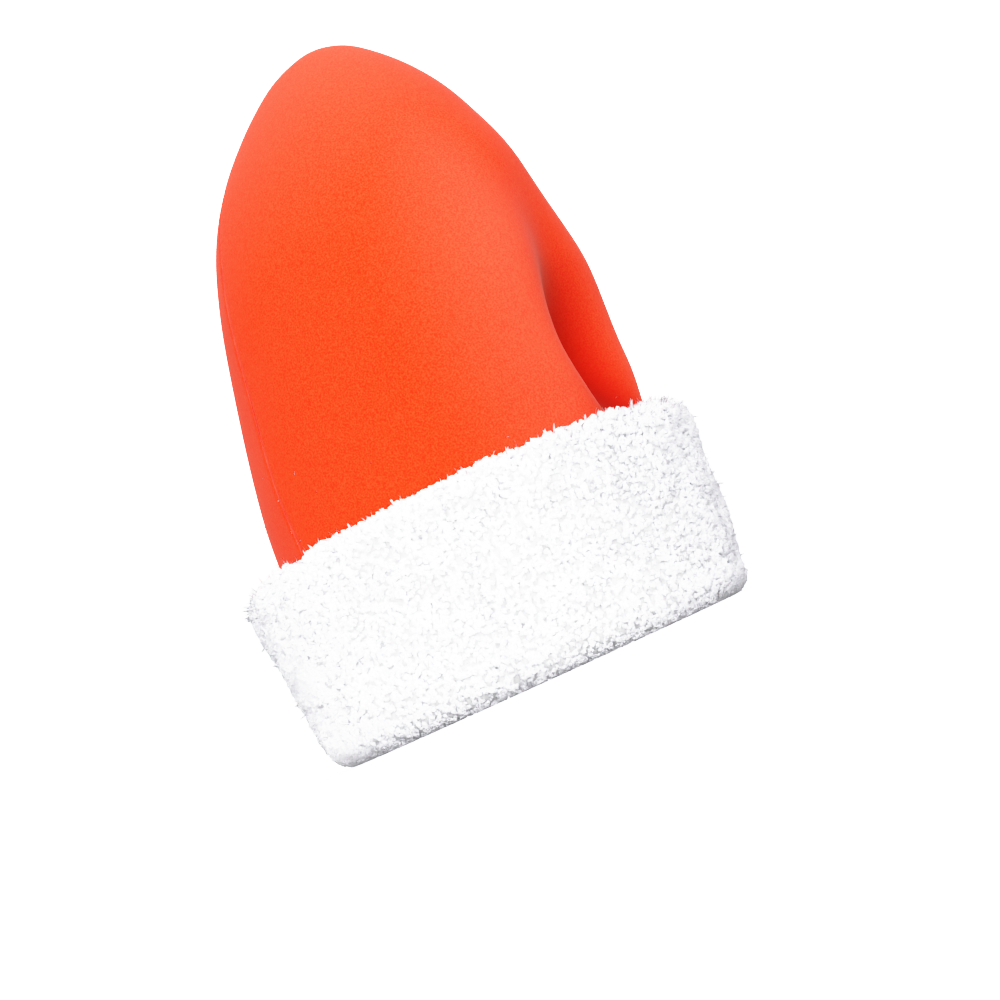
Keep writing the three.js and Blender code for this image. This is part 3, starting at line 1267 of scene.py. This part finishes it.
    def oval_ring(self, z: float, inset: float) -> np.ndarray:
        """The cuff's smooth outer loop at a height, drawn in by inset.

        Args:
            z: Height in millimetres.
            inset: How far the loop is drawn in, in millimetres.

        Returns:
            Points in millimetres, one for each column.
        """
        low, high = np.array(astuple(self.foot)), np.array(astuple(self.top))
        front, back, side = low + (high - low) * (z / self.height)
        angle = self.angles()
        forward = (front - back) / 2 + ((front + back) / 2 - inset) * np.cos(angle)
        return np.stack([(side - inset) * np.sin(angle), -forward, np.full(angle.shape, z)], axis=1)

    def outside_form(self) -> tuple[np.ndarray, np.ndarray]:
        """The cuff's smooth form from its foot up the wall and over the shoulder to the lip.

        Returns:
            Loops of points in millimetres, and how deep the pile on each loop is.
        """
        loops, depths = [], []
        for turn in np.linspace(0, np.pi / 2, self.foot_steps + 1):
            rise = self.foot_round * (1 - math.cos(turn))
            loops.append(self.oval_ring(rise, self.foot_round * (1 - math.sin(turn))))
            depths.append(self.rim_depth + (self.pile_depth - self.rim_depth) * math.sin(turn) ** 2)
        for z in np.linspace(self.foot_round, self.height - self.shoulder_drop, self.wall_steps + 1)[1:]:
            loops.append(self.oval_ring(z, 0))
            depths.append(self.pile_depth)
        wall = loops[-1]
        lip = self.crown.offset_ring(self.crown.lip_row, self.clearance)
        for turn in np.linspace(0, np.pi / 2, self.shoulder_steps + 1)[1:]:
            share = self.ridge_share + (1 - self.ridge_share) * math.cos(turn)
            ring = lip + (wall - lip) * share
            drop = self.shoulder_drop * (1 - math.sin(turn))
            ring[:, 2] = self.height + self.crest_lift * math.sin(turn) - drop
            loops.append(ring)
            depths.append(self.pile_depth)
        ridge = loops[-1]
        for share in self.lip_shares:
            loops.append(lip + (ridge - lip) * share)
            depths.append(self.lip_depth + (self.pile_depth - self.lip_depth) * share)
        return np.array(loops), np.array(depths)

    def outside_bed(self) -> np.ndarray:
        """The bed under the outer pile: the form, swelled by the locks and drawn in by the pile's depth.

        Returns:
            Loops of points in millimetres.
        """
        form, depths = self.outside_form()
        normals = loop_normals(form)
        normals[-1] = np.array([0, 0, 1])
        full = ((depths - self.rim_depth) / (self.pile_depth - self.rim_depth)).clip(0, 1)[:, None]
        swell = self.lock_swell(form) * full
        return form + (swell - depths[:, None])[..., None] * normals

    def lock_swell(self, form: np.ndarray) -> np.ndarray:
        """Uneven swell of the plush: its locks, wandering a little, and larger soft lumps.

        Args:
            form: Loops of points in millimetres.

        Returns:
            The swell at each point, in millimetres.
        """
        draw = np.random.default_rng(self.seed)
        angle = np.arctan2(form[..., 0], -form[..., 1])
        z = form[..., 2]
        lumps = np.zeros(z.shape)
        for _ in range(self.lump_waves):
            turns = draw.integers(*self.lump_turns)
            climb = 2 * np.pi / draw.uniform(*self.lump_lengths) * draw.choice([-1, 1])
            lumps += np.cos(turns * angle + climb * z + draw.uniform(0, 2 * np.pi))
        lumps *= self.lump / math.sqrt(self.lump_waves)
        across = np.cos(self.locks_around * angle + lumps)
        along = np.cos(np.pi * z / self.lock_pitch + lumps)
        return self.lock_depth * (self.lock_contrast * across * along - 1) / 2 + lumps

    def slot_loops(self) -> np.ndarray:
        """Loops of the slot that holds the foam: down its outer face and up its inner face.

        Returns:
            Loops of points in millimetres.
        """
        lip_row = self.crown.lip_row
        down = np.linspace(lip_row, 0, lip_row * self.slot_steps + 1)[1:-1]
        up = np.linspace(0, self.crown.turn_in_row, self.slot_steps + 1)[1:]
        outer_rows = [lip_row - self.lip_gap_rows, *down]
        loops = [self.crown.offset_ring(row, self.clearance) for row in outer_rows]
        for offset in (self.clearance, self.behind):
            floor = self.crown.offset_ring(0, offset)
            floor[:, 2] = self.floor
            loops.append(floor)
        loops += [self.crown.offset_ring(row, self.behind) for row in up]
        return np.array(loops)

    def lining_bed(self) -> np.ndarray:
        """The bed under the pile inside: the turn-in's rounded top, its inner face and the rim's foot.

        Returns:
            Loops of points in millimetres.
        """
        face = self.behind - self.turn_in_thickness + self.lining_depth
        crest = self.crown.offset_ring(self.crown.turn_in_row, (self.behind + face) / 2)
        crest[:, 2] += self.turn_in_crest
        rows = np.linspace(self.crown.turn_in_row, 0, self.slot_steps + 1)[:-1]
        loops = [crest, *(self.crown.offset_ring(row, face) for row in rows)]
        round_radius = self.turn_in_round - self.rim_depth
        for turn in np.linspace(0, np.pi / 2, self.slot_steps):
            ring = self.crown.offset_ring(0, face + round_radius * (1 - math.cos(turn)))
            ring[:, 2] = self.rim_depth + round_radius * (1 - math.sin(turn))
            loops.append(ring)
        return np.array(loops)

    def grow_pile(self, outside: np.ndarray, lining: np.ndarray, plush: bpy.types.Material) -> None:
        """Plants the pile on the beds, a piece for each sector of the cuff.

        Args:
            outside: Loops of the outer bed.
            lining: Loops of the inner bed.
            plush: Finish of the pile.
        """
        tufts = self.variants_of(self.tuft, "tuft")
        wisps = self.variants_of(self.wisp, "wisp")
        tree = self.planting.tree()
        _, depths = self.outside_form()
        inner = np.concatenate([lining, outside[:1]])
        inner_depths = np.full(len(inner), self.lining_depth)
        inner_depths[-self.rim_loops :] = self.rim_depth
        inner_cover = np.full(len(inner), self.lining_cover)
        beds = [(outside, depths, np.ones(len(outside))), (inner, inner_depths, inner_cover)]
        edges = np.linspace(0, self.crown.columns, self.sectors + 1).round().astype(int)
        for sector in range(self.sectors):
            columns = np.arange(edges[sector], edges[sector + 1] + 1) % self.crown.columns
            bed = self.bed(f"cuff_pile_{sector + 1}", columns, beds)
            self.planting.plant(bed, tree, tufts, plush, sector)
            enlist(bed)
        all_round = np.arange(self.crown.columns + 1) % self.crown.columns
        above_foot = outside[self.foot_steps + 1 :]
        cover = np.ones(len(above_foot))
        cover[: self.wall_steps] = self.wisps_on_wall
        bed = self.bed("cuff_wisps", all_round, [(above_foot, np.full(len(cover), self.pile_depth), cover)])
        self.wisp_planting.plant(bed, tree, wisps, plush, 0)
        enlist(bed)
        for kind in (tufts, wisps):
            for made in list(kind.objects):
                bpy.data.meshes.remove(made.data)
            bpy.data.collections.remove(kind)
        bpy.data.node_groups.remove(tree)

    def variants_of(self, kind: Tuft | Wisp, name: str) -> bpy.types.Collection:
        """Makes the variants of a tuft or wisp, out of the scene.

        Args:
            kind: The tuft or wisp.
            name: What the variants are called.

        Returns:
            The collection that holds them.
        """
        group = bpy.data.collections.new(name)
        for variant in range(self.variants):
            made = mesh_object(f"{name}_{variant}", kind.mesh(self.seed + variant))
            bpy.context.scene.collection.objects.unlink(made)
            group.objects.link(made)
        return group

    def bed(
        self, name: str, columns: np.ndarray, beds: list[tuple[np.ndarray, np.ndarray, np.ndarray]]
    ) -> bpy.types.Object:
        """A stretch of the beds as an object, with the pile's cover and depth on its points.

        Args:
            name: Name of the object.
            columns: Numbers of the columns that it spans.
            beds: For each bed its loops, and the pile's depth and cover on each loop.

        Returns:
            The bed's object.
        """
        shapes, covers, depths = [], [], []
        for loops, loop_depths, cover in beds:
            part = loops[:, columns]
            rows, count = part.shape[:2]
            shapes.append((part.reshape(-1, 3), grid_faces(rows, count, round_columns=False)))
            covers.append(np.repeat(cover, count))
            depths.append(np.repeat(loop_depths / self.pile_depth, count))
        bed = mesh_object(name, joined(shapes))
        for label, values in (("cover", covers), ("depth", depths)):
            attribute = bed.data.attributes.new(label, "FLOAT", "POINT")
            attribute.data.foreach_set("value", np.concatenate(values))
        return bed


@dataclass(frozen=True)
class Lamp:
    """A broad lamp far away, placed by how far it stands towards the camera, to its left and above."""

    name: str
    near: float
    left: float
    above: float
    strength: float
    softness: float


@dataclass(frozen=True)
class Studio:
    """Floor, light and camera.

    The surround is brightest where it faces bright_aim, and dimmer under the hat. Each of its spans runs
    from the dimmest direction to the brightest. Sizes are in millimetres and angles in degrees.
    """

    azimuth: float = -65.0
    roll: float = 24.5
    distance: float = 850.0
    camera_height: float = 8.0
    target: tuple[float, float, float] = (7.8, -19.6, 99.6)
    lens: float = 56.2
    sensor: float = 36.0
    sight_metres: float = 100.0
    floor_size: float = 60000.0
    floor_tones: Span = (0.89, 0.91)
    floor_cloud: float = 500.0
    floor_glow: float = 1.2
    backdrop_glow: float = 2.2
    dim_glow: float = 0.25
    bright_glow: float = 1.5
    glow_span: Span = (-0.1, 1.0)
    bright_aim: tuple[float, float, float] = (0.8, -0.1, 0.5)
    under_share: float = 0.62
    under_span: Span = (-0.4, 0.2)
    lamps: tuple[Lamp, ...] = (
        Lamp("key", near=0.9, left=0.06, above=0.3, strength=2.0, softness=60.0),
        Lamp("fill", near=-0.85, left=-0.2, above=0.6, strength=0.7, softness=60.0),
    )
    white_level: float = 2.0
    tone: tuple[Span, ...] = (
        (0.015, 0.014),
        (0.03, 0.042),
        (0.05, 0.088),
        (0.15, 0.32),
        (0.25, 0.60),
        (0.375, 0.85),
        (0.5, 0.945),
        (0.75, 0.985),
    )

    def build(self) -> None:
        """Makes the floor, the light and the camera."""
        self.add_floor()
        self.add_sky()
        for lamp in self.lamps:
            self.add_lamp(lamp)
        self.add_camera()
        self.set_tone()

    def set_tone(self) -> None:
        """Sets the tone curve of a still camera, with a soft shoulder that keeps the plush's texture."""
        view = bpy.context.scene.view_settings
        view.view_transform = "Standard"
        view.use_curve_mapping = True
        view.curve_mapping.white_level = (self.white_level,) * 3
        all_channels = view.curve_mapping.curves[3]
        for place, value in self.tone:
            all_channels.points.new(place, value)
        view.curve_mapping.update()

    def towards_camera(self) -> Vector:
        """Level direction from the hat to the camera."""
        angle = math.radians(self.azimuth)
        return Vector((math.sin(angle), -math.cos(angle), 0))

    def aim(self, near: float, left: float, above: float) -> Vector:
        """A direction made of three.

        Args:
            near: Share towards the camera.
            left: Share to the camera's left.
            above: Share upwards.

        Returns:
            The direction, of length 1.
        """
        facing = self.towards_camera()
        sideways = Vector((facing.y, -facing.x, 0))
        return (near * facing + left * sideways + above * Vector((0, 0, 1))).normalized()

    def add_floor(self) -> None:
        """Makes the pale floor that the hat stands on."""
        half = self.floor_size / 2
        corners = np.array([[-half, -half, 0], [half, -half, 0], [half, half, 0], [-half, half, 0]])
        material, link, shader, place = Finish("pale_floor").start()
        shade = link.remap(link.noise(place, self.floor_cloud, detail=1.0), (0.0, 1.0), *self.floor_tones)
        tone = link.node("ShaderNodeCombineColor", Red=shade, Green=shade, Blue=shade)
        link.fill(
            shader,
            Base_Color=tone.outputs["Color"],
            Roughness=1.0,
            Specular_IOR_Level=0.0,
            Emission_Color=(1.0, 1.0, 1.0, 1.0),
            Emission_Strength=self.floor_glow,
        )
        floor = mesh_object("floor", (corners, [(0, 1, 2, 3)]), material, smooth=False)
        floor.visible_diffuse = False
        floor.visible_glossy = False
        floor.visible_shadow = False

    def add_sky(self) -> None:
        """Makes the surround: even white to the camera, and as light brightest from over the camera."""
        world = bpy.data.worlds.new("white_surround")
        world.use_nodes = True
        world.node_tree.nodes.clear()
        link = Link(world.node_tree)
        seen = link.node("ShaderNodeLightPath").outputs["Is Camera Ray"]
        aim = link.node("ShaderNodeTexCoord").outputs["Generated"]
        facing = link.node("ShaderNodeVectorMath", {"operation": "DOT_PRODUCT"})
        link.feed(facing.inputs[0], aim)
        link.feed(facing.inputs[1], self.aim(*self.bright_aim))
        glows = (self.dim_glow, self.bright_glow)
        glow = link.remap(facing.outputs["Value"], self.glow_span, *glows, kind="SMOOTHSTEP")
        height = link.node("ShaderNodeSeparateXYZ", Vector=aim).outputs["Z"]
        over = link.remap(height, self.under_span, self.under_share, 1.0, kind="SMOOTHSTEP")
        light = link.math("MULTIPLY", glow, over)
        strength = link.remap(seen, (0.0, 1.0), light, self.backdrop_glow)
        backdrop = link.node("ShaderNodeBackground", Color=(1.0, 1.0, 1.0, 1.0), Strength=strength)
        link.node("ShaderNodeOutputWorld", Surface=backdrop.outputs["Background"])
        bpy.context.scene.world = world

    def add_lamp(self, lamp: Lamp) -> None:
        """Makes one broad lamp.

        Args:
            lamp: Where the lamp's light comes from, and how strong and soft it is.
        """
        light = bpy.data.lights.new(lamp.name, "SUN")
        light.energy = lamp.strength
        light.angle = math.radians(lamp.softness)
        placed = bpy.data.objects.new(lamp.name, light)
        source = self.aim(lamp.near, lamp.left, lamp.above)
        placed.rotation_euler = source.to_track_quat("Z", "Y").to_euler()
        bpy.context.scene.collection.objects.link(placed)

    def add_camera(self) -> None:
        """Makes the camera at the photograph's angle, just above the floor."""
        place = self.towards_camera() * self.distance
        place.z = self.camera_height
        back = (place - Vector(self.target)).normalized()
        level = Vector((0, 0, 1)).cross(back).normalized()
        upright = back.cross(level)
        turn = math.radians(self.roll)
        across = level * math.cos(turn) - upright * math.sin(turn)
        up = level * math.sin(turn) + upright * math.cos(turn)
        data = bpy.data.cameras.new("camera")
        data.sensor_width = self.sensor
        data.lens = self.lens
        data.clip_end = self.sight_metres
        camera = bpy.data.objects.new("camera", data)
        axes = Matrix((across, up, back)).transposed().to_4x4()
        camera.matrix_world = Matrix.Translation(place * MM) @ axes
        bpy.context.scene.collection.objects.link(camera)
        bpy.context.scene.camera = camera


def main() -> None:
    """Builds the hat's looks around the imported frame."""
    logging.basicConfig(level=logging.INFO, format="%(name)s %(message)s")
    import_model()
    form = CrownForm()
    FoamCrown(form, FoamFinish(), GlueFinish()).build()
    PlushCuff(form, PlushFinish()).build()
    Studio().build()


if __name__ == "__main__":
    main()
